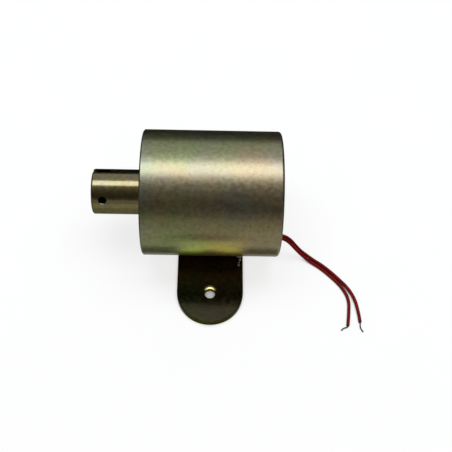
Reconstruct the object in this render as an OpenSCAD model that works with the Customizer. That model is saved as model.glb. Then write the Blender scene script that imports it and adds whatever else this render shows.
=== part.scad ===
// Push pull solenoid: a round steel case with a coil and a fixed core inside, a sliding plunger
// with a clevis end, a push rod through the core, and a flat mounting foot welded underneath.
//
// Frame: +X runs along the plunger's axis towards the closed end with the leads, +Z is up.
// The origin is on the underside of the foot, midway between its two holes.

/* [Case] */
// Outside diameter of the case
case_d = 50; // [48:0.5:60]
// Length of the case
case_len = 54; // [52:0.5:70]
// Thickness of the case's round wall
case_wall = 3; // [2.5:0.1:3.2]
// Thickness of the closed end
end_wall = 4; // [3.6:0.1:6]
// Outer corner radius of the closed end
end_corner_r = 1.1; // [0.5:0.1:3]
// Edge bevel round the open end
rim_bevel = 0.5; // [0.3:0.1:1.2]
// Depth of the front plate's outer face below the open end's rim
rim_depth = 0.8; // [0.6:0.1:2]

/* [Front plate] */
// Thickness of the front plate
plate_t = 5; // [4:0.1:8]
// Width of the step that the front plate seats on
seat_step = 0.8; // [0.4:0.1:1.2]
// Height and width of the rolled lip that holds the front plate
lip = 0.6; // [0.4:0.1:0.6]

/* [Plunger] */
// Diameter of the plunger
plunger_d = 18; // [16:0.1:19]
// Length of the plunger outside the case when it is out
plunger_out = 20; // [16:0.5:26]
// Travel of the plunger from out to seated
stroke = 10; // [5:0.5:14]
// Edge round at the plunger's outer end
plunger_round = 0.8; // [0.3:0.1:1.5]
// Width of the clevis slot
slot_w = 3; // [2:0.1:4]
// Depth of the clevis slot from the plunger's outer end
slot_depth = 8; // [6:0.1:10]
// Diameter of the cross hole for the clevis pin
cross_d = 2.6; // [2:0.1:3.5]
// Distance of the cross hole from the plunger's outer end
cross_x = 4.5; // [3.5:0.1:5.5]
// Depth of the small countersink at each end of the cross hole
cross_sink = 0.4; // [0.2:0.1:0.6]
// Turn of the plunger about its axis as it lies
plunger_turn = 34; // [0:1:90]

/* [Nose and core] */
// Distance of the fixed core's mouth from the closed end's inner face
core_len = 19; // [16:0.5:24]
// Diameter of the cone's wide end
cone_d = 16; // [14:0.1:16.5]
// Diameter of the cone's flat end
cone_tip_d = 9; // [7:0.1:10]
// Length of the cone
cone_len = 6; // [4:0.1:8]
// Diameter of the core's rivet end
rivet_d = 12; // [9:0.1:14]
// Width of the bevel that the rivet end is spread into
rivet_spread = 1; // [0.4:0.1:1.5]
// Thickness of the residual washer
washer_t = 0.5; // [0.3:0.1:1]
// Outside diameter of the residual washer
washer_d = 8; // [6:0.1:8.5]

/* [Push rod] */
// Diameter of the push rod
rod_d = 4; // [3:0.1:5]
// Depth of the push rod's seat in the plunger
rod_seat = 10; // [6:0.5:14]
// Distance of the rod's end below the closed end's outer face when the plunger is out
rod_recess = 1; // [0.5:0.1:3]
// Bevel at each end of the push rod
rod_bevel = 0.5; // [0.2:0.1:1]

/* [Guide tube] */
// Wall of the guide tube
tube_wall = 0.6; // [0.4:0.1:1]
// Diameter of the guide tube's flange
tube_flange_d = 23; // [21.5:0.1:25]
// Thickness of the guide tube's flange
tube_flange_t = 0.8; // [0.5:0.1:1.2]

/* [Coil] */
// Wall of the bobbin's barrel
barrel_wall = 1.4; // [1:0.1:2]
// Thickness of the bobbin's flanges
flange_t = 1.6; // [1.2:0.1:2.5]
// Gap between the bobbin's flanges and the case
flange_gap = 0.4; // [0.2:0.1:0.6]
// Room between the winding and the case's inner wall, where the leads' splices lie
coil_room = 4.5; // [4.3:0.1:7]
// Thickness of the tape over the winding
tape_t = 0.4; // [0.2:0.1:0.5]
// Thickness of the take-up washer
takeup_t = 1; // [0.6:0.1:2]

/* [Foot] */
// Length of the foot strip
foot_len = 90; // [86:1:130]
// Width of the foot strip
foot_w = 27; // [20:0.5:34]
// Thickness of the foot strip
foot_t = 3; // [2.5:0.1:5]
// Edge bevel along the top of the foot strip
foot_bevel = 0.4; // [0.2:0.1:0.8]
// Distance between the two foot holes
hole_pitch = 64; // [60:0.5:100]
// Diameter of the foot holes
hole_d = 4.3; // [3.5:0.1:5.5]
// Diameter of the countersink at the top of each foot hole
hole_sink_d = 6.5; // [6:0.1:9]
// Length of each tack weld along the strip's width
weld_len = 7; // [4:0.5:10]
// Radius of the weld bead
weld_r = 2.2; // [1.8:0.1:3]
// Distance of each weld bead's middle from the plane through the plunger's axis
weld_y = 7.9; // [7:0.1:8.5]
// Bevel at each end of a weld bead
weld_bevel = 0.7; // [0.3:0.1:1]

/* [Leads] */
// Outside diameter of each lead
lead_d = 1.35; // [1:0.05:1.4]
// Diameter of the bare tinned ends
bare_d = 0.6; // [0.4:0.05:0.8]
// Distance of the lead bush's middle from the case's inner wall
lead_in = 2.3; // [2.2:0.1:2.5]
// Angle of the lead bush from straight down towards the near side
lead_angle = 31; // [0:1:60]
// Outside diameter of the lead bush's flange
bush_flange_d = 5.4; // [4.6:0.1:6]
// Height of the lead bush's flange
bush_flange_t = 0.8; // [0.5:0.1:1.5]
// Outside diameter of the lead bush's body
bush_d = 4.2; // [3.6:0.1:4.4]

/* [Clearances] */
// Radial running clearance of plunger and push rod
run_gap = 0.08; // [0.03:0.01:0.1]
// Radial clearance between pieces that are seated for good
seat_gap = 0.02; // [0.01:0.01:0.05]
// Radial gap between guide tube and bobbin
bobbin_gap = 0.1; // [0.05:0.05:0.3]

/* [Hidden] */
$fn = 96;
over = 1;                        // how far cutters run past what they cut
axis_h = foot_t + case_d / 2;    // height of the plunger's axis
front_x = -case_len / 2;
rear_x = case_len / 2;
rear_in = rear_x - end_wall;
bore_r = case_d / 2 - case_wall;
plate_r = bore_r + seat_step;
plate_x0 = front_x + rim_depth;
plate_x1 = plate_x0 + plate_t;

core_x = rear_in - core_len;
shoulder_x = core_x - washer_t - stroke;
nose_x = shoulder_x + cone_len;
tip_x = front_x - plunger_out;
plunger_r = plunger_d / 2;
plunger_len = nose_x - tip_x;

tube_in_r = plunger_r + run_gap;
tube_out_r = tube_in_r + tube_wall;
barrel_in_r = tube_out_r + bobbin_gap;
barrel_r = barrel_in_r + barrel_wall;
flange_r = bore_r - flange_gap;
bobbin_x1 = rear_in - takeup_t;
bobbin_len = bobbin_x1 - plate_x1;
coil_x0 = plate_x1 + flange_t;
coil_len = bobbin_len - 2 * flange_t;
coil_r = bore_r - coil_room;
tape_r = coil_r + tape_t;
rod_bore_r = rod_d / 2 + run_gap;
rod_x0 = nose_x - rod_seat;
rod_x1 = rear_x - rod_recess;

lead_r = bore_r - lead_in;
lead_y = -lead_r * sin(lead_angle);
lead_z = axis_h - lead_r * cos(lead_angle);
lead_gap = 0.1;                              // between the two leads
lead_step = (lead_d + lead_gap) / 2;
bush_bore_d = 2 * lead_step + lead_d + lead_gap;
exit_x = rear_x + bush_flange_t;
exit_run = 1.5;                              // how far each lead runs straight out of the bush
notch_w = 2 * lead_step + lead_d + 1;
sleeve_wall = 0.35;
sleeve_d = lead_d + lead_gap + 2 * sleeve_wall;
sleeve_len = 8;
sleeve_back = 9;                             // from the closed end's inner face to each sleeve
sleeve_step = (sleeve_d + lead_gap) / 2;
sleeve_x1 = rear_in - sleeve_back;
sleeve_x0 = sleeve_x1 - sleeve_len;
sleeve_run = 1;                              // how far a wire runs straight out of its sleeve
seat_in_sleeve = 2;                          // how far a wire reaches into its sleeve
coil_end_d = 0.5;
coil_end_drop = 4;                           // from a sleeve to where the wire lies on the tape
coil_end_len = 7;                            // from a sleeve to the wire's end
bare_run = 0.4;                              // how far the strands run on along the lead
lead_lie = lead_d / 2 + seat_gap;            // height of a lead's middle where it lies flat
bare_lie = bare_d / 2 + seat_gap;
wire_sides = 8;

// Middle of each lead on its way from the bush down to the surface and along it. Each point is
// its distance and offset from the bush's middle, and its share of the bush's height.
RUN_FRONT = [
    [3.2, -1.2, 0.97], [4.5, -1.7, 0.89], [5.7, -2.2, 0.78], [6.9, -2.6, 0.63],
    [8.3, -3.1, 0.46], [9.9, -3.7, 0.29], [11.6, -4.5, 0.16], [13.4, -5.5, 0.06],
    [15.3, -6.7, 0.02], [17.4, -8.1, 0], [19.5, -9.8, 0], [22.4, -12.6, 0], [25.3, -15.7, 0],
    [27.2, -18.4, 0], [28.6, -21.3, 0], [29.2, -24.5, 0], [29, -27.8, 0], [28.6, -31.3, 0],
    [28.1, -34.7, 0]];
RUN_REAR = [
    [3.5, 0.2, 0.97], [4.9, -0.3, 0.89], [6.1, -0.8, 0.78], [7.3, -1.3, 0.63],
    [8.7, -1.8, 0.46], [10.3, -2.4, 0.29], [12.1, -3.1, 0.16], [14.1, -4.1, 0.06],
    [16.1, -5.4, 0.02], [18.3, -6.8, 0], [20.5, -8.6, 0], [23.5, -11.4, 0], [26.5, -14.6, 0],
    [28.9, -17.4, 0], [30.8, -20.6, 0], [32, -23.9, 0], [32.6, -27.1, 0], [33, -30.3, 0],
    [33.2, -33.1, 0]];
// Middle of the bare strands past each lead's end, in the same way, as a share of the lead's height.
TIP_FRONT = [
    [27.5, -35.4, 0.87], [26.8, -35.6, 0.6], [26, -36, 0.33], [25.3, -36.7, 0.13]];
TIP_REAR = [
    [33.1, -34.5, 0.87], [33.2, -35.4, 0.6], [33.6, -36.3, 0.33], [34.2, -37.2, 0.13]];

// ---- Shapes that several pieces use ----

// Puts what is drawn along +Z, from z = 0, on the plunger's axis from x onwards.
module on_axis(x) {
    translate([x, 0, axis_h]) rotate([0, 90, 0]) children();
}

// Solid of revolution from [radius, distance along the axis] points.
module turned(points) {
    rotate_extrude() polygon(points);
}

// Ring with square edges.
module ring(r_out, r_in, h) {
    difference() {
        cylinder(r = r_out, h = h);
        translate([0, 0, -over]) cylinder(r = r_in, h = h + 2 * over);
    }
}

// What a round of radius r takes off a corner at the origin, with the piece towards -X and -Y.
module corner_waste(r) {
    difference() {
        translate([-r, -r]) square(r + over);
        translate([-r, -r]) circle(r);
    }
}

// Slot across the leads' way through a flange, from x over the given length and open outwards.
module lead_notch(x, length) {
    translate([x - over, 0, axis_h]) rotate([-lead_angle, 0, 0])
        translate([0, -notch_w / 2, -case_d / 2])
            cube([length + 2 * over, notch_w, case_d / 2 - lead_r + notch_w / 2]);
}

// ---- A round wire swept along points ----

function unit(v) = v / norm(v);
function along(points, i) =
    unit(points[min(i + 1, len(points) - 1)] - points[max(i - 1, 0)]);
function wire_ring(centre, way, r) =
    let (side = unit(cross(way, [0, 0, 1])), top = cross(side, way))
    [for (k = [0 : wire_sides - 1])
        centre + r * (cos(k * 360 / wire_sides) * side + sin(k * 360 / wire_sides) * top)];

module wire(points, d) {
    rings = len(points);
    dots = [for (i = [0 : rings - 1]) each wire_ring(points[i], along(points, i), d / 2)];
    walls = [for (i = [0 : rings - 2], k = [0 : wire_sides - 1])
        let (a = i * wire_sides + k, b = i * wire_sides + (k + 1) % wire_sides)
        each [[a, a + wire_sides, b], [b, a + wire_sides, b + wire_sides]]];
    start_cap = [for (k = [0 : wire_sides - 1]) k];
    end_cap = [for (k = [wire_sides - 1 : -1 : 0]) (rings - 1) * wire_sides + k];
    polyhedron(dots, concat(walls, [start_cap, end_cap]));
}

// ---- Case ----

module case_profile() {
    mouth = rim_depth + plate_t;
    difference() {
        square([case_d / 2, case_len]);
        translate([-over, mouth - over]) square([bore_r + over, case_len - end_wall - mouth + over]);
        translate([-over, -over]) square([plate_r + over, mouth + over]);
        translate([case_d / 2, 0]) rotate(45) square(rim_bevel * sqrt(2), center = true);
        translate([case_d / 2, case_len]) corner_waste(end_corner_r);
    }
    // lip rolled over the front plate's bevelled edge
    polygon([[plate_r + lip, lip / 2], [plate_r + lip, rim_depth + lip], [plate_r, rim_depth + lip],
        [plate_r - lip, rim_depth], [plate_r - lip, lip / 2]]);
}

// Drawn cup: open at the plunger's end, closed at the leads' end.
module case_shell() {
    hole_r = rivet_d / 2 + seat_gap;
    color([0.62, 0.6, 0.42]) difference() {
        on_axis(front_x) rotate_extrude() case_profile();
        on_axis(rear_in - over) cylinder(r = hole_r, h = end_wall + 2 * over);
        on_axis(rear_x - rivet_spread)
            cylinder(r1 = hole_r, r2 = hole_r + rivet_spread + over, h = rivet_spread + over);
        translate([rear_in - over, lead_y, lead_z]) rotate([0, 90, 0])
            cylinder(d = bush_d + 2 * seat_gap, h = end_wall + 2 * over);
    }
}

// Pole plate that closes the case's open end.
module front_plate() {
    hole_r = tube_out_r + seat_gap;
    recess_r = tube_flange_d / 2 + seat_gap;
    rim_r = plate_r - seat_gap;
    color([0.6, 0.58, 0.42]) on_axis(plate_x0) turned([
        [recess_r, 0], [rim_r - lip, 0], [rim_r, lip], [rim_r, plate_t],
        [hole_r, plate_t], [hole_r, tube_flange_t], [recess_r, tube_flange_t]]);
}

// Thin brass tube, flanged at the open end, in which the plunger slides.
module guide_tube() {
    color([0.8, 0.62, 0.28]) on_axis(plate_x0) {
        ring(tube_out_r, tube_in_r, rear_in - plate_x0);
        ring(tube_flange_d / 2, tube_in_r, tube_flange_t);
    }
}

// Stop with a conical seat, bored for the push rod and riveted through the closed end.
module fixed_core() {
    rivet_r = rivet_d / 2;
    full_len = core_len + end_wall;
    color([0.62, 0.62, 0.62]) on_axis(core_x) turned([
        [rod_bore_r, cone_len], [cone_tip_d / 2, cone_len], [cone_d / 2, 0],
        [tube_in_r - seat_gap, 0], [tube_in_r - seat_gap, core_len], [rivet_r, core_len],
        [rivet_r, full_len - rivet_spread], [rivet_r + rivet_spread, full_len],
        [rod_bore_r, full_len]]);
}

// Insulating bush that lines the leads' hole in the closed end.
module lead_bush() {
    edge = bush_flange_t / 2;
    color([0.15, 0.14, 0.13]) translate([rear_in, lead_y, lead_z]) rotate([0, 90, 0]) turned([
        [bush_bore_d / 2, 0], [bush_d / 2, 0], [bush_d / 2, end_wall],
        [bush_flange_d / 2, end_wall], [bush_flange_d / 2, end_wall + edge],
        [bush_flange_d / 2 - edge, end_wall + 2 * edge], [bush_bore_d / 2, end_wall + 2 * edge]]);
}

// ---- Coil ----

module bobbin() {
    color([0.9, 0.88, 0.8]) difference() {
        on_axis(plate_x1) turned([
            [barrel_in_r, 0], [flange_r, 0], [flange_r, flange_t], [barrel_r, flange_t],
            [barrel_r, bobbin_len - flange_t], [flange_r, bobbin_len - flange_t],
            [flange_r, bobbin_len], [barrel_in_r, bobbin_len]]);
        lead_notch(bobbin_x1 - flange_t, flange_t);
    }
}

module coil_winding() {
    color([0.72, 0.36, 0.18]) on_axis(coil_x0) ring(coil_r, barrel_r + seat_gap, coil_len);
}

module coil_tape() {
    color([0.85, 0.72, 0.2]) on_axis(coil_x0) ring(tape_r, coil_r + seat_gap, coil_len);
}

// Soft ring that keeps the bobbin tight against the front plate.
module takeup_washer() {
    color([0.2, 0.2, 0.2]) difference() {
        on_axis(bobbin_x1) ring(flange_r, barrel_in_r, takeup_t);
        lead_notch(bobbin_x1, takeup_t);
    }
}

// ---- Plunger and push rod ----

module plunger_profile() {
    difference() {
        polygon([[0, 0], [plunger_r, 0], [plunger_r, plunger_len - cone_len],
            [cone_d / 2, plunger_len - cone_len], [cone_tip_d / 2, plunger_len], [0, plunger_len]]);
        translate([plunger_r, 0]) mirror([0, 1]) corner_waste(plunger_round);
    }
}

// What the clevis loses, drawn with the cross hole along Y, from the plunger's outer end at x = 0.
module clevis_waste() {
    slot_end = slot_depth - slot_w / 2;
    translate([-over, -slot_w / 2, -plunger_d]) cube([slot_end + over, slot_w, 2 * plunger_d]);
    translate([slot_end, 0, -plunger_d]) cylinder(d = slot_w, h = 2 * plunger_d);
    translate([cross_x, 0, 0]) rotate([90, 0, 0]) {
        cylinder(d = cross_d, h = 2 * plunger_d, center = true);
        for (side = [0, 180]) rotate([0, side, 0]) translate([0, 0, plunger_r - cross_sink])
            cylinder(r1 = cross_d / 2, r2 = cross_d / 2 + cross_sink + over, h = cross_sink + over);
    }
}

module plunger() {
    color([0.6, 0.56, 0.36]) difference() {
        on_axis(tip_x) rotate_extrude() plunger_profile();
        translate([tip_x, 0, axis_h]) rotate([-plunger_turn, 0, 0]) clevis_waste();
        on_axis(rod_x0) cylinder(r = rod_d / 2 + seat_gap, h = rod_seat + over);
    }
}

// Non-magnetic rod pressed into the plunger's nose, with bevelled ends.
module push_rod() {
    rod_len = rod_x1 - rod_x0;
    round_r = rod_d / 2;
    color([0.75, 0.75, 0.76]) on_axis(rod_x0) turned([
        [0, 0], [round_r - rod_bevel, 0], [round_r, rod_bevel], [round_r, rod_len - rod_bevel],
        [round_r - rod_bevel, rod_len], [0, rod_len]]);
}

// Thin washer that keeps the nose from sticking to the core.
module residual_washer() {
    color([0.85, 0.8, 0.7]) on_axis(nose_x) ring(washer_d / 2, rod_bore_r, washer_t);
}

// ---- Foot ----

module foot_strip() {
    half = foot_len / 2 - foot_w / 2;
    flat = foot_w / 2 - foot_bevel;
    wall = foot_t - foot_bevel;
    sink = (hole_sink_d - hole_d) / 2;
    color([0.16, 0.14, 0.1]) difference() {
        union() {
            translate([0, half, 0]) rotate([90, 0, 0]) linear_extrude(2 * half) polygon([
                [-foot_w / 2, 0], [foot_w / 2, 0], [foot_w / 2, wall], [flat, foot_t],
                [-flat, foot_t], [-foot_w / 2, wall]]);
            for (side = [-1, 1]) translate([0, side * half, 0])
                turned([[0, 0], [foot_w / 2, 0], [foot_w / 2, wall], [flat, foot_t], [0, foot_t]]);
        }
        for (side = [-1, 1]) translate([0, side * hole_pitch / 2, 0]) {
            translate([0, 0, -over]) cylinder(d = hole_d, h = foot_t + 2 * over);
            translate([0, 0, foot_t - sink]) cylinder(r1 = hole_d / 2, r2 = hole_d / 2 + sink + over,
                h = sink + over);
        }
    }
}

// Short beads in the groove between case and foot, two on each side.
module tack_welds() {
    inset = foot_w / 2 - weld_bevel;
    color([0.4, 0.4, 0.38]) difference() {
        for (side = [-1, 1], x = [-inset, inset - weld_len])
            translate([x, side * weld_y, foot_t]) rotate([0, 90, 0]) turned([
                [0, 0], [weld_r - weld_bevel, 0], [weld_r, weld_bevel],
                [weld_r, weld_len - weld_bevel], [weld_r - weld_bevel, weld_len], [0, weld_len]]);
        on_axis(front_x) cylinder(d = case_d, h = case_len);
        translate([-foot_w, -foot_len / 2, -foot_t]) cube([2 * foot_w, foot_len, 2 * foot_t]);
    }
}

// ---- Leads ----

function laid(points, low, high) =
    [for (p = points) [exit_x + p[0], lead_y + p[1], low + p[2] * (high - low)]];

// Lead from the bush's outer face to its end; side is -1 or 1.
function outer_route(run, side) = concat(
    [for (x = [exit_x, exit_x + exit_run]) [x, lead_y + side * lead_step, lead_z]],
    laid(run, lead_lie, lead_z));

function bare_route(run, tip) =
    let (route = laid(run, lead_lie, lead_z), last = route[len(route) - 1],
        before = route[len(route) - 2])
    concat([last, last + bare_run * unit(last - before)], laid(tip, bare_lie, lead_lie));

// Lead from the bush's outer face back into its sleeve beside the coil; side is -1 or 1.
function inner_route(side) = [
    [exit_x, lead_y + side * lead_step, lead_z], [rear_in, lead_y + side * lead_step, lead_z],
    [bobbin_x1 - flange_t, lead_y + side * lead_step, lead_z],
    [sleeve_x1 + sleeve_run, lead_y + side * sleeve_step, lead_z],
    [sleeve_x1 - seat_in_sleeve, lead_y + side * sleeve_step, lead_z]];

// Winding's own wire end, from the sleeve down to the tape; side is -1 or 1.
function coil_end_route(side) =
    let (y = lead_y + side * sleeve_step, z = lead_z - axis_h,
        k = (tape_r + coil_end_d / 2 + seat_gap) / norm([y, z]))
    [[sleeve_x0 + seat_in_sleeve, y, z + axis_h], [sleeve_x0 - sleeve_run, y, z + axis_h],
        [sleeve_x0 - coil_end_drop, k * y, k * z + axis_h],
        [sleeve_x0 - coil_end_len, k * y, k * z + axis_h]];

module splice_sleeve(side) {
    color([0.1, 0.1, 0.1]) translate([sleeve_x0, lead_y + side * sleeve_step, lead_z])
        rotate([0, 90, 0]) ring(sleeve_d / 2, sleeve_d / 2 - sleeve_wall, sleeve_len);
}

module lead(route) {
    color([0.5, 0.05, 0.03]) wire(route, lead_d);
}

module lead_tip(run, tip) {
    color([0.6, 0.6, 0.6]) wire(bare_route(run, tip), bare_d);
}

module coil_end(side) {
    color([0.72, 0.36, 0.18]) wire(coil_end_route(side), coil_end_d);
}

case_shell();
front_plate();
guide_tube();
fixed_core();
bobbin();
coil_winding();
coil_tape();
takeup_washer();
lead_bush();
foot_strip();
tack_welds();
plunger();
push_rod();
residual_washer();
lead(outer_route(RUN_FRONT, -1));  // lead_front
lead(outer_route(RUN_REAR, 1));  // lead_rear
lead_tip(RUN_FRONT, TIP_FRONT);  // lead_tip_front
lead_tip(RUN_REAR, TIP_REAR);  // lead_tip_rear
lead(inner_route(-1));  // lead_inner_front
lead(inner_route(1));  // lead_inner_rear
splice_sleeve(-1);  // splice_sleeve_front
splice_sleeve(1);  // splice_sleeve_rear
coil_end(-1);  // coil_end_front
coil_end(1);  // coil_end_rear
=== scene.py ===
"""Push pull solenoid: a zinc-plated round case on a foot strip, with plunger, rod and leads."""
import math

import bpy
from mathutils import Matrix, Vector


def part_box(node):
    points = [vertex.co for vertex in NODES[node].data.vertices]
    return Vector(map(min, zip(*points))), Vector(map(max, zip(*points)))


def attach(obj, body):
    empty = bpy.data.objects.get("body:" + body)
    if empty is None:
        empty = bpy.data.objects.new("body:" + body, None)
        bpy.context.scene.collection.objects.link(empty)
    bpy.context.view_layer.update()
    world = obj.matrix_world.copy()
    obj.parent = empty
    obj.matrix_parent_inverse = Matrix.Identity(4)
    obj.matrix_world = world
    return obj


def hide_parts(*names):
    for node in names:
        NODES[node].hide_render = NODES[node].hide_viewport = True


MM = 0.001

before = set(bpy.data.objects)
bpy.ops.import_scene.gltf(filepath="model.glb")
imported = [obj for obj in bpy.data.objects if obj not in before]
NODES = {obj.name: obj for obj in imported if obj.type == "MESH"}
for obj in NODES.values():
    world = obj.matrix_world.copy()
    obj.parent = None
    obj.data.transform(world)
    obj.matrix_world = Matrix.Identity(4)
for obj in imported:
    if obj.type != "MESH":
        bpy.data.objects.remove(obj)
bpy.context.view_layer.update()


# ---------------------------------------------------------------- nodes

MATHS, VECTORS, RANGE = "ShaderNodeMath", "ShaderNodeVectorMath", "ShaderNodeMapRange"
NOISE, BUMP, MIX = "ShaderNodeTexNoise", "ShaderNodeBump", "ShaderNodeMix"
SPLIT, COMBINE, STRETCH = "ShaderNodeSeparateXYZ", "ShaderNodeCombineXYZ", "ShaderNodeMapping"
SHARE, UNDER, OVER = 0, 6, 7    # a colour mix's share, and the colours that it lies between


def linear(hex_colour):
    """Turns an sRGB hex colour into linear RGBA."""
    parts = [int(hex_colour[i:i + 2], 16) / 255 for i in (1, 3, 5)]
    levels = [c / 12.92 if c <= 0.04045 else ((c + 0.055) / 1.055) ** 2.4 for c in parts]
    return (*levels, 1.0)


def per(size_mm):
    """Texture scale for a pattern of that size in millimetres."""
    return 1 / (size_mm * MM)


def feed(tree, node, inputs):
    """Sets or links a node's inputs, by name or in order. A node stands for its live output."""
    for key, value in inputs.items() if isinstance(inputs, dict) else enumerate(inputs):
        if isinstance(value, bpy.types.Node):
            value = next(socket for socket in value.outputs if socket.enabled)
        if isinstance(value, bpy.types.NodeSocket):
            tree.links.new(value, node.inputs[key])
        else:
            node.inputs[key].default_value = value
    return node


def add(tree, kind, inputs=(), **settings):
    """Adds a node with its settings, and sets or links its inputs."""
    made = tree.nodes.new(kind)
    for name, value in settings.items():
        setattr(made, name, value)
    return feed(tree, made, inputs)


def new_material(name):
    """A fresh node material, its tree, its shader and its object coordinates."""
    material = bpy.data.materials.new(name)
    material.use_nodes = True
    tree = material.node_tree
    coords = add(tree, "ShaderNodeTexCoord").outputs["Object"]
    return material, tree, tree.nodes["Principled BSDF"], coords


def washed(tree, film, washes):
    """Lays colours over a film one after another, each by its share."""
    for share, colour in washes:
        film = add(tree, MIX, {SHARE: share, UNDER: film, OVER: colour}, data_type="RGBA")
    return film


def clouded(tree, pattern, dark, light):
    """A colour that drifts softly between two as a noise pattern does."""
    share = add(tree, RANGE, (pattern, 0.3, 0.7, 0, 1))
    return washed(tree, linear(dark), [(share, linear(light))])


def open_tree(name, sizes):
    """A geometry tree with its geometry, its named sizes and its material as inputs."""
    tree = bpy.data.node_groups.new(name, "GeometryNodeTree")
    face = tree.interface
    face.new_socket("Geometry", in_out="INPUT", socket_type="NodeSocketGeometry")
    for size, kind, value in sizes:
        face.new_socket(size, in_out="INPUT", socket_type=kind).default_value = value
    face.new_socket("Material", in_out="INPUT", socket_type="NodeSocketMaterial")
    face.new_socket("Geometry", in_out="OUTPUT", socket_type="NodeSocketGeometry")
    return tree, add(tree, "NodeGroupInput").outputs


def close_tree(tree, shape, metal):
    """Smooths what a tree made, turns its instances into mesh and gives it its material."""
    smooth = add(tree, "GeometryNodeSetShadeSmooth", {"Geometry": shape})
    whole = add(tree, "GeometryNodeRealizeInstances", {"Geometry": smooth})
    done = add(tree, "GeometryNodeSetMaterial", {"Geometry": whole, "Material": metal})
    add(tree, "NodeGroupOutput", {"Geometry": done})
    return tree


def baked(name, carrier, tree, **inputs):
    """Runs a geometry tree on the carrier and returns the result as a plain mesh object."""
    modifier = carrier.modifiers.new("tree", "NODES")
    modifier.node_group = tree
    for item in tree.interface.items_tree:
        if item.in_out == "INPUT" and item.name in inputs:
            modifier[item.identifier] = inputs[item.name]
    bpy.context.view_layer.update()
    live = carrier.evaluated_get(bpy.context.evaluated_depsgraph_get())
    mesh = bpy.data.meshes.new_from_object(live)
    mesh.name = name
    bpy.data.objects.remove(carrier)
    return shown(name, mesh)


def shown(name, data):
    """Puts a mesh, curve, lamp or camera into the scene."""
    made = bpy.data.objects.new(name, data)
    bpy.context.scene.collection.objects.link(made)
    return made


# ---------------------------------------------------------------- sizes, in millimetres

CAMERA_PLACE, CAMERA_LENS, SENSOR_W, CLIP_START = (-0.7, -161.5, 281.7), 59.73, 36, 10
CAMERA_FORWARD, CAMERA_UP = (0.0222, 0.4999, -0.8658), (-0.0166, 0.8661, 0.4996)

AXIS_H = 28                         # height of the plunger's axis
HOLE_PITCH, STRIP_TOP = 64, 3       # the foot strip's holes and its thickness
SINK_R, SINK_Z = 3.25, 1.9          # a countersink's radius, and the height where its cone starts
PAINTED_GLINT_R, PAINTED_GLINT_NEAR, PAINTED_GLINT_FAR = 2.5, -1.8, -1.1      # where the cone gets a painted highlight
PIN_X, PIN_R, PIN_TURN = -42.5, 1.45, math.radians(34)      # the plunger's cross hole
MASK_FADE, PAINTED_GLINT_FADE = 0.05, 0.3     # how far a mask takes to fade out

LEAD_D, BARE_D, LEAD_GAP, SEAT_GAP = 1.35, 0.6, 0.1, 0.02
LEAD_STEP, EXIT_RUN, BARE_RUN = (LEAD_D + LEAD_GAP) / 2, 1.5, 0.4
BUSH_LOW, BUSH_HIGH = (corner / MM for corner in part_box("lead_bush"))
EXIT_X = BUSH_HIGH.x
LEAD_Y = (BUSH_LOW.y + BUSH_HIGH.y) / 2
LEAD_Z = (BUSH_LOW.z + BUSH_HIGH.z) / 2
LEAD_LIE = LEAD_D / 2 + SEAT_GAP
BARE_LIE = BARE_D / 2 + SEAT_GAP
STRANDS, STRAND_R, BUNDLE_R, TWIST = 6, 0.1, 0.19, 1.6
# Each lead's side, its points from the bush on, and its bare end's: distance and offset from the
# bush's middle, and share of its height, as in the part's source.
ROUTES = {
    "lead_front": (-1, [
        (3.2, -1.2, 0.97), (4.5, -1.7, 0.89), (5.7, -2.2, 0.78), (6.9, -2.6, 0.63),
        (8.3, -3.1, 0.46), (9.9, -3.7, 0.29), (11.6, -4.5, 0.16), (13.4, -5.5, 0.06),
        (15.3, -6.7, 0.02), (17.4, -8.1, 0), (19.5, -9.8, 0), (22.4, -12.6, 0), (25.3, -15.7, 0),
        (27.2, -18.4, 0), (28.6, -21.3, 0), (29.2, -24.5, 0), (29, -27.8, 0), (28.6, -31.3, 0),
        (28.1, -34.7, 0)],
        [(27.5, -35.4, 0.87), (26.8, -35.6, 0.6), (26, -36, 0.33), (25.3, -36.7, 0.13)]),
    "lead_rear": (1, [
        (3.5, 0.2, 0.97), (4.9, -0.3, 0.89), (6.1, -0.8, 0.78), (7.3, -1.3, 0.63),
        (8.7, -1.8, 0.46), (10.3, -2.4, 0.29), (12.1, -3.1, 0.16), (14.1, -4.1, 0.06),
        (16.1, -5.4, 0.02), (18.3, -6.8, 0), (20.5, -8.6, 0), (23.5, -11.4, 0), (26.5, -14.6, 0),
        (28.9, -17.4, 0), (30.8, -20.6, 0), (32, -23.9, 0), (32.6, -27.1, 0), (33, -30.3, 0),
        (33.2, -33.1, 0)],
        [(33.1, -34.5, 0.87), (33.2, -35.4, 0.6), (33.6, -36.3, 0.33), (34.2, -37.2, 0.13)]),
}

# Corners of the patch that the drops lie on, how many fall on a square metre, and their sizes.
SPATTER_PATCH = ((11, -19.5), (12.1, -19.5), (12.6, -14.5), (11.3, -14.5))
SPATTER_DENSITY, DROP_MIN, DROP_MAX, DROP_FLAT, SPATTER_SEED = 2.2e6, 0.2, 0.7, 0.7, 4


# ---------------------------------------------------------------- camera and leads

def place_camera():
    forward = Vector(CAMERA_FORWARD).normalized()
    right = forward.cross(Vector(CAMERA_UP)).normalized()
    turn = Matrix((right, right.cross(forward), -forward)).transposed().to_4x4()
    data = bpy.data.cameras.new("camera")
    data.sensor_width, data.lens, data.clip_start = SENSOR_W, CAMERA_LENS, CLIP_START * MM
    camera = shown("camera", data)
    camera.matrix_world = Matrix.Translation(Vector(CAMERA_PLACE) * MM) @ turn
    bpy.context.scene.camera = camera
    bpy.context.scene.view_settings.view_transform = "Standard"


def laid(points, low, high):
    """A route's points in the part's frame, between two heights."""
    return [Vector((EXIT_X + x, LEAD_Y + y, low + share * (high - low))) for x, y, share in points]


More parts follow.
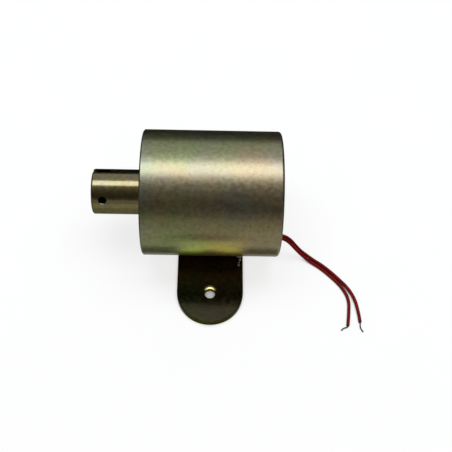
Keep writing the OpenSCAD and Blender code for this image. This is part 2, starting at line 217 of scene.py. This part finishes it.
def smooth_curve(name, points, width_mm):
    """A round wire on one smooth open spline through points in millimetres."""
    data = bpy.data.curves.new(name, "CURVE")
    data.dimensions = "3D"
    data.bevel_depth = width_mm / 2 * MM
    data.bevel_resolution = 5
    data.resolution_u = 6
    data.use_fill_caps = True
    spline = data.splines.new("BEZIER")
    spline.bezier_points.add(len(points) - 1)
    for knot, place in zip(spline.bezier_points, points):
        knot.co = Vector(place) * MM
        knot.handle_left_type = knot.handle_right_type = "AUTO"
    return shown(name, data)


def strand_tree():
    """Twisted strands round a curve, with one straight strand in the middle."""
    tree, given = open_tree("twisted_strands", (
        ("Strands", "NodeSocketInt", STRANDS), ("Strand radius", "NodeSocketFloat", STRAND_R * MM),
        ("Bundle radius", "NodeSocketFloat", BUNDLE_R * MM), ("Turns", "NodeSocketFloat", TWIST)))
    path = add(tree, "GeometryNodeResampleCurve", {"Curve": given["Geometry"], "Count": 60})
    along = add(tree, "GeometryNodeSplineParameter").outputs["Factor"]
    twist = add(tree, MATHS, (along, given["Turns"]), operation="MULTIPLY")
    tilt = add(tree, MATHS, (twist, 2 * math.pi), operation="MULTIPLY")
    turned = add(tree, "GeometryNodeSetCurveTilt", {"Curve": path, "Tilt": tilt})
    ring = add(tree, "GeometryNodeMeshCircle",
               {"Vertices": given["Strands"], "Radius": given["Bundle radius"]})
    core = add(tree, "GeometryNodeMeshLine", {"Count": 1})
    places = add(tree, "GeometryNodeJoinGeometry")
    for source in (ring, core):
        feed(tree, places, (source,))
    section = add(tree, "GeometryNodeCurvePrimitiveCircle",
                  {"Resolution": 8, "Radius": given["Strand radius"]})
    bundle = add(tree, "GeometryNodeInstanceOnPoints",
                 {"Points": places, "Instance": section.outputs["Curve"]})
    profile = add(tree, "GeometryNodeRealizeInstances", {"Geometry": bundle})
    wires = add(tree, "GeometryNodeCurveToMesh",
                {"Curve": turned, "Profile Curve": profile, "Fill Caps": True})
    return close_tree(tree, wires, given["Material"])


def make_leads(insulation, tinned):
    """Two insulated wires from the bush down to the table, with bare twisted ends."""
    strands = strand_tree()
    for name, (side, run, tip_run) in ROUTES.items():
        y = LEAD_Y + side * LEAD_STEP
        route = laid(run, LEAD_LIE, LEAD_Z)
        points = [Vector((EXIT_X, y, LEAD_Z)), Vector((EXIT_X + EXIT_RUN, y, LEAD_Z))] + route
        lead = smooth_curve(name + "_wire", points, LEAD_D)
        lead.data.materials.append(insulation)
        way = (route[-1] - route[-2]).normalized()
        bare = [route[-1] - way * BARE_D, route[-1] + way * BARE_RUN]
        carrier = smooth_curve("carrier", bare + laid(tip_run, BARE_LIE, LEAD_LIE), 0)
        tip = baked(name + "_strands", carrier, strands, **{
            "Strands": STRANDS, "Strand radius": STRAND_R * MM, "Bundle radius": BUNDLE_R * MM,
            "Turns": TWIST, "Material": tinned})
        tip_node = name.replace("lead", "lead_tip")
        for piece, node, slot in (
                (lead, name, "lead_insulation"), (tip, tip_node, "tinned_copper")):
            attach(piece, "case")
            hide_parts(node)


# ---------------------------------------------------------------- weld spatter

def spatter_tree():
    """Flattened drops strewn over a patch."""
    tree, given = open_tree("weld_spatter", (
        ("Drops per square metre", "NodeSocketFloat", SPATTER_DENSITY),
        ("Least radius", "NodeSocketFloat", DROP_MIN * MM),
        ("Most radius", "NodeSocketFloat", DROP_MAX * MM),
        ("Seed", "NodeSocketInt", SPATTER_SEED)))
    strewn = add(tree, "GeometryNodeDistributePointsOnFaces", {
        "Mesh": given["Geometry"], "Density": given["Drops per square metre"],
        "Seed": given["Seed"]})
    size = add(tree, "FunctionNodeRandomValue", {
        2: given["Least radius"], 3: given["Most radius"], "Seed": given["Seed"]},
        data_type="FLOAT")
    height = add(tree, MATHS, (size, DROP_FLAT), operation="MULTIPLY")
    shape = add(tree, COMBINE, (size, size, height))
    drop = add(tree, "GeometryNodeMeshIcoSphere", {"Radius": 1.0, "Subdivisions": 3})
    drops = add(tree, "GeometryNodeInstanceOnPoints", {
        "Points": strewn.outputs["Points"], "Instance": drop.outputs["Mesh"], "Scale": shape})
    return close_tree(tree, drops, given["Material"])


def make_spatter(metal):
    """Drops of weld metal on the strip, beside the tack nearest the leads."""
    mesh = bpy.data.meshes.new("patch")
    mesh.from_pydata([Vector((*corner, STRIP_TOP)) * MM for corner in SPATTER_PATCH], [],
                     [(0, 1, 2, 3)])
    drops = baked("weld_spatter", shown("patch", mesh), spatter_tree(), **{
        "Drops per square metre": SPATTER_DENSITY, "Least radius": DROP_MIN * MM,
        "Most radius": DROP_MAX * MM, "Seed": SPATTER_SEED, "Material": metal})
    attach(drops, "case")


# ---------------------------------------------------------------- finishes

TOOTH, GRAIN_DEEP = 0.004, 0.01                     # how deep a metal's grain is, and a plastic's
MOTTLE_W, PIT_W, CRYSTAL_W = 1.6, 0.75, 0.5         # how wide the film's marks are
CROWN_START, CROWN_FULL = -8, 4                     # where along Y the film turns green
# Painted shade under the case, painted shade inside the holes, and the colour of pits.
UNDER_CASE_SHADE_COLOUR, BORE_PAINTED_SHADE, PITTED = "#0A0706", "#16130E", "#4A4A36"
FILM_EDGE, SEAL_ROUGH = (0.45, 0.45, 0.38, 1), 0.12     # the film at a low angle, and its seal


def lead_pvc():
    """PVC insulation, extruded round the wire: an even deep red, a little uneven where it was
    handled. Its gloss is set weaker than new PVC's, so that the red stays deep."""
    material, tree, shader, coords = new_material("lead_pvc_red")
    patches = add(tree, NOISE, {"Vector": coords, "Scale": per(3)})
    rubs = add(tree, NOISE, {"Vector": coords, "Scale": per(0.8)})
    skin = add(tree, NOISE, {"Vector": coords, "Scale": per(0.5)})
    feed(tree, shader, {
        "Base Color": clouded(tree, patches, "#660704", "#7D0C06"),
        "Roughness": add(tree, RANGE, (rubs, 0, 1, 0.4, 0.55)),
        "Normal": add(tree, BUMP, {"Height": skin, "Distance": GRAIN_DEEP * MM, "Strength": 0.4}),
        "IOR": 1.5, "Specular IOR Level": 0.1})
    return material


def tinned_strands():
    """Copper strands dipped in tin: tarnished, a darker grey than clean tin, without a sharp
    reflection anywhere."""
    material, tree, shader, coords = new_material("tinned_copper")
    cloud = add(tree, NOISE, {"Vector": coords, "Scale": per(0.6)})
    feed(tree, shader, {
        "Base Color": clouded(tree, cloud, "#4C4946", "#6A6662"),
        "Roughness": add(tree, RANGE, (cloud, 0, 1, 0.35, 0.5)),
        "Metallic": 1})
    return material


def from_hole(tree, coords):
    """How far out from the nearer foot hole's axis a spot is, along Y and in all."""
    place = add(tree, SPLIT, (coords,)).outputs
    side = add(tree, MATHS, (place["Y"],), operation="ABSOLUTE")
    beyond = add(tree, MATHS, (side, HOLE_PITCH / 2 * MM), operation="SUBTRACT")
    flat = add(tree, COMBINE, {"X": place["X"], "Y": beyond})
    return beyond, add(tree, VECTORS, (flat,), operation="LENGTH")


def sink_mask(tree, coords):
    """A mask of the foot holes' countersinks, which are painted dark as painted shade, and one of
    the part that gets a painted highlight instead: low on the cone, towards the case."""
    beyond, reach = from_hole(tree, coords)
    height = add(tree, SPLIT, (coords,)).outputs["Z"]
    within = add(tree, RANGE, (reach, SINK_R * MM, (SINK_R + MASK_FADE) * MM, 1, 0))
    above = add(tree, RANGE, (height, (SINK_Z - MASK_FADE) * MM, SINK_Z * MM, 0, 1))
    cone = add(tree, MATHS, (within, above), operation="MULTIPLY")
    inner = add(tree, RANGE, (reach, PAINTED_GLINT_R * MM, (PAINTED_GLINT_R + PAINTED_GLINT_FADE) * MM, 1, 0))
    case_side = add(tree, RANGE, (beyond, PAINTED_GLINT_NEAR * MM, PAINTED_GLINT_FAR * MM, 1, 0))
    bright = add(tree, MATHS, (inner, case_side), operation="MULTIPLY")
    return cone, add(tree, MATHS, (cone, bright), operation="MULTIPLY")


def bore_mask(tree, coords):
    """The same two for the plunger's cross hole, which is painted one dark colour all through, as
    painted shade.
    """
    middle = Vector((PIN_X, 0, AXIS_H)) * MM
    axis = Vector((0, -math.cos(PIN_TURN), math.sin(PIN_TURN)))
    apart = add(tree, VECTORS, (coords, middle), operation="SUBTRACT")
    across = add(tree, VECTORS, (apart, axis), operation="CROSS_PRODUCT")
    reach = add(tree, VECTORS, (across,), operation="LENGTH")
    inside = add(tree, RANGE, (reach, PIN_R * MM, (PIN_R + MASK_FADE) * MM, 1, 0))
    return inside, inside


def chromate(name, colours, patch_mm, rough, specks=True, grain=None, lean=(0, 0, 0), crown=0.0,
             ends=None, under_case_shade=None, cut=None, coat=0.0):
    """Yellow chromate over zinc: an olive film whose thickness drifts, so that it turns from green
    to tan and violet grey in soft patches, over steel that was left satin.

    The drift leans towards tan by so much a millimetre each way, and turns green over the part's
    crown. Its ends are greyer, from one distance along X to another, by a share. Between two
    distances along Y it is painted dark, as painted shade under the case. A mask paints a hole's
    inside dark as painted shade, with a colour on part of it: a painted highlight on the
    countersinks, painted shade in the cross hole. Grain stretches the tool marks, and a thin clear
    seal sharpens the gloss. The film's crystals and the tool marks are microns wide, and are drawn
    as coarse as they need to show."""
    material, tree, shader, coords = new_material(name)
    green, tan, grey = (linear(colour) for colour in colours)
    place = add(tree, SPLIT, (coords,)).outputs

    cloud = add(tree, NOISE, {
        "Vector": coords, "Scale": per(patch_mm), "Detail": 1.0, "Distortion": 0.4})
    centred = add(tree, VECTORS, (coords, (0, 0, -AXIS_H * MM)))
    slope = add(tree, VECTORS, (centred, [per(1) * way for way in lean]), operation="DOT_PRODUCT")
    leaning = add(tree, MATHS, (cloud, slope), operation="ADD")
    over_top = add(tree, RANGE, (place["Y"], CROWN_START * MM, CROWN_FULL * MM, 0, crown))
    drift = add(tree, MATHS, (leaning, over_top), operation="SUBTRACT")
    wide = add(tree, STRETCH, {"Vector": coords, "Scale": (1.0, 1.0, 1.3)})
    veil = add(tree, NOISE, {"Vector": wide, "Scale": per(patch_mm * 0.7), "Detail": 1.0})
    washes = [(add(tree, RANGE, (drift, 0.38, 0.62, 0, 1)), tan),
              (add(tree, RANGE, (veil, 0.5, 0.68, 0, 0.75)), grey)]
    if ends is not None:
        start, stop, share = ends
        reach = add(tree, MATHS, (place["X"],), operation="ABSOLUTE")
        washes.append((add(tree, RANGE, (reach, start * MM, stop * MM, 0, share)), grey))
    # Painted shade: darker between two distances along Y, close under the case.
    if under_case_shade is not None:
        start, stop = under_case_shade
        reach = add(tree, MATHS, (place["Y"],), operation="ABSOLUTE")
        washes.append((add(tree, RANGE, (reach, start * MM, stop * MM, 0.8, 0)), linear(UNDER_CASE_SHADE_COLOUR)))
    film = washed(tree, green, washes)

    mottle = add(tree, NOISE, {"Vector": coords, "Scale": per(MOTTLE_W), "Detail": 3.0})
    shade = clouded(tree, mottle, "#DCDCDC", "#FFFFFF")
    film = add(tree, MIX, {SHARE: 1.0, UNDER: film, OVER: shade},
               data_type="RGBA", blend_type="MULTIPLY")
    level = add(tree, RANGE, (mottle, 0.3, 0.7, rough - 0.03, rough + 0.04))
    # Painted shade inside a hole, with a second colour on part of it: a painted highlight on the
    # countersinks, painted shade in the cross hole.
    if cut is not None:
        mask, colour = cut
        inside, bright = mask(tree, coords)
        film = washed(tree, film, [(inside, linear(BORE_PAINTED_SHADE)), (bright, linear(colour))])
        torn = add(tree, MATHS, (inside, 0.5), operation="MULTIPLY")
        level = add(tree, MATHS, (level, torn), operation="MAXIMUM")
    if specks:
        pits = add(tree, NOISE, {"Vector": coords, "Scale": per(PIT_W), "Detail": 1.0})
        pit = add(tree, RANGE, (pits, 0.69, 0.76, 0, 0.8))
        film = washed(tree, film, [(pit, linear(PITTED))])

    crystals = add(tree, NOISE, {"Vector": coords, "Scale": per(CRYSTAL_W), "Detail": 3.0})
    relief = add(tree, BUMP, {"Height": crystals, "Distance": TOOTH * MM, "Strength": 0.5})
    if grain is not None:
        lines = add(tree, NOISE, {
            "Vector": add(tree, STRETCH, {"Vector": coords, "Scale": grain}), "Scale": per(1)})
        relief = add(tree, BUMP, {
            "Height": lines, "Distance": TOOTH * MM, "Strength": 0.5, "Normal": relief})
    feed(tree, shader, {
        "Base Color": film, "Roughness": level, "Normal": relief, "Metallic": 1,
        "Specular Tint": FILM_EDGE, "Coat Weight": coat, "Coat Roughness": SEAL_ROUGH})
    return material


def bare_metal(name, dark, light, rough, ring_mm=None, metallic=1.0):
    """Metal without plating, with turning marks across its length where ring_mm is given. They
    are really finer, and are drawn as coarse as they need to show."""
    material, tree, shader, coords = new_material(name)
    cloud = add(tree, NOISE, {"Vector": coords, "Scale": per(4)})
    if ring_mm:
        rings = add(tree, "ShaderNodeTexWave", {
            "Vector": coords, "Scale": per(ring_mm) / math.pi, "Distortion": 0.5, "Detail": 1.0},
            bands_direction="X").outputs["Fac"]
        relief = add(tree, BUMP, {"Height": rings, "Distance": TOOTH * MM, "Strength": 0.4})
        feed(tree, shader, {"Normal": relief})
    feed(tree, shader, {
        "Base Color": clouded(tree, cloud, dark, light),
        "Roughness": add(tree, RANGE, (cloud, 0, 1, rough - 0.04, rough + 0.05)),
        "Metallic": metallic})
    return material


def dull(name, dark, light, rough, grain_mm, ior=1.5):
    """A moulded or cut non-metal with an even grain, drawn as coarse as it needs to show."""
    material, tree, shader, coords = new_material(name)
    cloud = add(tree, NOISE, {"Vector": coords, "Scale": per(grain_mm * 6)})
    sheen = add(tree, NOISE, {"Vector": coords, "Scale": per(grain_mm * 2)})
    grain = add(tree, NOISE, {"Vector": coords, "Scale": per(grain_mm)})
    feed(tree, shader, {
        "Base Color": clouded(tree, cloud, dark, light),
        "Roughness": add(tree, RANGE, (sheen, 0, 1, rough - 0.06, rough + 0.06)),
        "Normal": add(tree, BUMP, {"Height": grain, "Distance": GRAIN_DEEP * MM, "Strength": 0.4}),
        "IOR": ior})
    return material


def dress(material, *nodes):
    """Gives CAD nodes one material."""
    for node in nodes:
        mesh = NODES[node].data
        mesh.materials.clear()
        mesh.materials.append(material)


def dress_plated():
    """The four plated pieces, each with the surface that it had before plating."""
    # Satin drawn cup: soft wide highlights, green over the crown, tan low down towards the leads.
    dress(chromate("satin_yellow_chromate_case", ("#7F8663", "#8E8068", "#807E76"), 26, 0.34,
                   lean=(0.006, -0.002, 0.002), crown=0.2, ends=(20, 26, 0.3), coat=0.2),
          "case_shell")
    # Faced disc: the same film with fine tool marks across it.
    dress(chromate("turned_yellow_chromate_plate", ("#7F8663", "#8E8068", "#807E76"), 18, 0.34,
                   grain=(0.2, 3, 3)), "front_plate")
    # Bright rolled bar under a heavier film: nearly black with a brown cast, painted darker close
    # to the case as painted shade, and glossy enough to mirror what stands round it. Its
    # countersinks are painted dark as painted shade, with a painted highlight low on the case side.
    dress(chromate("rolled_dark_chromate_strip", ("#3F402E", "#4E3829", "#403A30"), 16, 0.16,
                   lean=(0, 0.02, -0.0264), under_case_shade=(16, 27), cut=(sink_mask, "#8E7F78")),
          "foot_strip")
    # Ground bar: darker gold than the case, with narrow sharp highlights along its length. Its
    # cross hole is painted dark all through, as painted shade.
    dress(chromate("ground_yellow_chromate_bar", ("#6C6F4C", "#74694C", "#6E6959"), 14, 0.17,
                   specks=False, grain=(6, 0.3, 0.3), lean=(0, 0, 0.012),
                   cut=(bore_mask, "#1C1812"), coat=0.25), "plunger")


def dress_inside(insulation, weld):
    """The bare metals, the mouldings and what is hidden in the case."""
    dress(weld, "tack_welds")
    dress(insulation, "lead_inner_front", "lead_inner_rear")
    # Drawn tube: clean warm yellow with a fairly tight highlight.
    dress(bare_metal("drawn_brass", "#B39550", "#CDB06A", 0.25), "guide_tube")
    # Turned bar: neutral grey with fine rings, whose highlight is drawn out across them.
    dress(bare_metal("turned_free_cutting_steel", "#8F8E8C", "#ABAAA8", 0.3, 0.25), "fixed_core")
    # Centreless-ground rod: cold and nearly a mirror.
    dress(bare_metal("ground_stainless", "#B0B0B2", "#C8C8CA", 0.18), "push_rod")
    # Layers of enamelled wire: deep orange with ridges that catch the light.
    dress(bare_metal("enamelled_copper", "#A8552A", "#C06A38", 0.25, 0.35),
          "coil_winding", "coil_end_front", "coil_end_rear")
    # Moulded nylon, uncoloured: milky cream, half matt.
    dress(dull("natural_nylon", "#DCD6C4", "#E9E4D4", 0.45, 0.3), "bobbin")
    # Stamped from nylon sheet: a shade yellower and smoother than the moulding.
    dress(dull("nylon_sheet", "#CFC6AE", "#DED6C0", 0.4, 0.3), "residual_washer")
    # Cut rubber: charcoal with no gloss.
    dress(dull("black_rubber", "#1E1E1E", "#2A2A2A", 0.75, 0.2, 1.52), "takeup_washer")
    # Moulded phenolic: warm black with a low polish.
    dress(dull("black_phenolic", "#1A1917", "#252320", 0.4, 0.2, 1.6), "lead_bush")
    # Polyester film tape: strong yellow, smooth and glossy.
    dress(dull("yellow_polyester_tape", "#C9A824", "#D8BA3C", 0.25, 0.6, 1.6), "coil_tape")
    # Varnished glass braid: black, with a soft even gloss.
    dress(dull("black_glass_sleeve", "#161616", "#222222", 0.5, 0.2),
          "splice_sleeve_front", "splice_sleeve_rear")


# ---------------------------------------------------------------- floor and light

FLOOR_HALF, FLOOR_GLOW = 3000, 0.765
SHADE_REACH = 4                         # how far from the object the floor's glow is darkened, as painted shade
SHADE_FULL, SHADE_NONE = 0.3, 0.6       # how open the floor is where it is black, and where white
HOLE_SHADE, HOLE_LIT = 4.5, 5           # painted shade on the floor under a foot hole: where it is full, and where it has faded out
ROOM_LIGHT, ROOM_SEEN = 0.45, 0.95      # the room's level on things, and as seen

CARD_TINT, YELLOW_TINT = (1.0, 0.98, 0.74), (0.93, 1.0, 0.38)
CARD_REACH, ARCH_R, ARCH_STEP = 900, 600, 12
ARCH_LEVELS = ((12, 0.16), (24, 0.1), (36, 0.12), (48, 0.17), (60, 0.28), (72, 0.42))
# Cards along X: from and to, the two edges' (Y, height), the level and the tint.
LONG_CARDS = {
    "low_front_flag": (-CARD_REACH, CARD_REACH, (-130, 8), (-130, 62), 0.55, CARD_TINT),
    "low_back_flag": (-CARD_REACH, CARD_REACH, (155, 0), (155, 92), 0.04, CARD_TINT),
    "back_floor_flag": (-CARD_REACH, CARD_REACH, (40, 0.5), (155, 0.5), 0.04, CARD_TINT),
    "front_floor_flag": (-CARD_REACH, CARD_REACH, (-52, 0.5), (-128, 0.5), 0.78, CARD_TINT),
    "amber_floor_flag": (-13, 14.5, (-46, 0.8), (-62, 0.8), 1.5, YELLOW_TINT),
}
OVAL_MIDDLE, OVAL_HALF, OVAL_CORNERS, OVAL_LEVEL = (-3, -88), (17, 20), 24, 0.03
SIDE_X, SIDE_Y, SIDE_TOP, SIDE_LEVEL = 420, 500, 500, 0.12
SIDE_NEAR_X, SIDE_NEAR_Y = 75, 50


def seen_rays(tree, unseen, seen):
    """One level for what camera, gloss and glass see, and another for what lights the object."""
    ray = add(tree, "ShaderNodeLightPath").outputs
    either = add(tree, MATHS, (ray["Is Camera Ray"], ray["Is Glossy Ray"]), operation="ADD")
    any_ray = add(tree, MATHS, (either, ray["Is Transmission Ray"]), operation="ADD",
                  use_clamp=True)
    return add(tree, RANGE, (any_ray, 0, 1, unseen, seen))


def sheet(name, corners, material):
    """A flat face that is part of the stage, from corners in millimetres."""
    mesh = bpy.data.meshes.new(name)
    mesh.from_pydata([Vector(corner) * MM for corner in corners], [], [tuple(range(len(corners)))])
    mesh.materials.append(material)
    made = shown(name, mesh)
    return made


def pale_floor():
    """Matt paper that glows to the eye, so that it stays even and white. It keeps the object's
    shadow, and its glow is darkened close round the object and under the foot holes, as painted
    shade."""
    material, tree, shader, coords = new_material("pale_paper")
    cloud = add(tree, NOISE, {"Vector": coords, "Scale": per(40)})
    near = add(tree, "ShaderNodeAmbientOcclusion", {"Distance": SHADE_REACH * MM},
               samples=8).outputs["AO"]
    round_object = add(tree, RANGE, (near, SHADE_FULL, SHADE_NONE, 0, 1))
    in_hole = add(tree, RANGE, (from_hole(tree, coords)[1], HOLE_SHADE * MM, HOLE_LIT * MM, 0.5, 1))
    shade = add(tree, MATHS, (round_object, in_hole), operation="MINIMUM")
    glow = seen_rays(tree, 0.0, FLOOR_GLOW)
    feed(tree, shader, {
        "Base Color": clouded(tree, cloud, "#888887", "#8A8A89"),
        "Emission Strength": add(tree, MATHS, (glow, shade), operation="MULTIPLY"),
        "Emission Color": (1, 1, 1, 1), "Roughness": 1, "Specular IOR Level": 0})
    low, high = -FLOOR_HALF, FLOOR_HALF
    sheet("floor", [(low, low, 0), (high, low, 0), (high, high, 0), (low, high, 0)], material)


def flag(name, corners, level, tint=CARD_TINT):
    """A studio card of one even level, which only the shiny surfaces see."""
    material = bpy.data.materials.new(name)
    material.use_nodes = True
    tree = material.node_tree
    tree.nodes.clear()
    glow = add(tree, "ShaderNodeEmission", {"Color": (*tint, 1), "Strength": level})
    add(tree, "ShaderNodeOutputMaterial", {"Surface": glow})
    card = sheet(name, corners, material)
    card.visible_camera = card.visible_diffuse = card.visible_shadow = False


def long_flag(name, left, right, edge, other, level, tint=CARD_TINT):
    """A card along X between two edges, each given by its Y and its height."""
    flag(name, [(left, *edge), (right, *edge), (right, *other), (left, *other)], level, tint)


def place_flags():
    """An arch of cards in front, low cards front and back, cards over the floor, and two walls."""
    for low, level in ARCH_LEVELS:
        edge, other = (
            (-ARCH_R * math.cos(math.radians(rise)), AXIS_H + ARCH_R * math.sin(math.radians(rise)))
            for rise in (low, low + ARCH_STEP))
        long_flag("front_flag_%d" % low, -CARD_REACH, CARD_REACH, edge, other, level)
    for name, card in LONG_CARDS.items():
        long_flag(name, *card)
    turns = [2 * math.pi * corner / OVAL_CORNERS for corner in range(OVAL_CORNERS)]
    flag("oval_floor_flag", [
        (OVAL_MIDDLE[0] + OVAL_HALF[0] * math.cos(turn),
         OVAL_MIDDLE[1] + OVAL_HALF[1] * math.sin(turn), 0.8) for turn in turns], OVAL_LEVEL)
    flag("plunger_floor_flag", [
        (-29, -2, 0.5), (-29, -50, 0.5), (-80, -50, 0.5), (-80, -2, 0.5)], 0.55)
    for side, name in ((-1, "left"), (1, "right")):
        x, near = side * SIDE_X, side * SIDE_NEAR_X
        long_flag("low_floor_flag_" + name, side * 14, side * 29, (-26, 0.5), (-43, 0.5), 0.2)
        flag("side_flag_" + name, [
            (x, -SIDE_Y, 4), (x, SIDE_Y, 4), (x, SIDE_Y, SIDE_TOP), (x, -SIDE_Y, SIDE_TOP)],
            SIDE_LEVEL)
        flag("side_floor_flag_" + name, [
            (near, -SIDE_NEAR_Y, 0.6), (x, -SIDE_Y, 0.6), (x, SIDE_Y, 0.6),
            (near, SIDE_NEAR_Y, 0.6)], SIDE_LEVEL)


def lamp(name, angle, distance, width, length, level, colour, centre=(0, 0, AXIS_H)):
    """Rectangular lamp in the plane across the plunger, at an angle from the front horizon."""
    data = bpy.data.lights.new(name, "AREA")
    data.shape = "RECTANGLE"
    data.size, data.size_y = length * MM, width * MM
    data.energy = level * math.pi * data.size * data.size_y
    data.color = colour
    made = shown(name, data)
    turn = math.radians(angle)
    away = Vector((0, -math.cos(turn), math.sin(turn)))
    made.location = (Vector(centre) + away * distance) * MM
    made.rotation_euler = (-away).to_track_quat("-Z", "Y").to_euler()
    return made


def light_room():
    """A softbox that lights all but the foot strip, and a yellow lamp that lights only that
    strip."""
    softbox = lamp("softbox", angle=100.5, distance=700, width=300, length=700, level=4.85,
                   colour=(0.93, 1, 1))
    strip_lamp = lamp("strip_lamp", angle=60, distance=400, width=240, length=400, level=46,
                      colour=(0.86, 1, 0.4), centre=(0, -38, STRIP_TOP))
    for made, state in ((softbox, "EXCLUDE"), (strip_lamp, "INCLUDE")):
        foot_only = bpy.data.collections.new(made.name + "_on_foot")
        foot_only.objects.link(NODES["foot_strip"])
        foot_only.collection_objects[0].light_linking.link_state = state
        made.light_linking.receiver_collection = foot_only
    world = bpy.data.worlds.new("room")
    bpy.context.scene.world = world
    world.use_nodes = True
    tree = world.node_tree
    tree.nodes.clear()
    back = add(tree, "ShaderNodeBackground",
               {"Color": (1, 1, 1, 1), "Strength": seen_rays(tree, ROOM_LIGHT, ROOM_SEEN)})
    add(tree, "ShaderNodeOutputWorld", {"Surface": back})


# ---------------------------------------------------------------- the object

place_camera()
insulation = lead_pvc()
make_leads(insulation, tinned_strands())
# Weld bead, plated over: pale rough grey, half covered by the film's skin.
weld = bare_metal("weld_metal", "#8C8B85", "#B5B3AB", 0.55, metallic=0.5)
make_spatter(weld)
dress_plated()
dress_inside(insulation, weld)
pale_floor()
place_flags()
light_room()
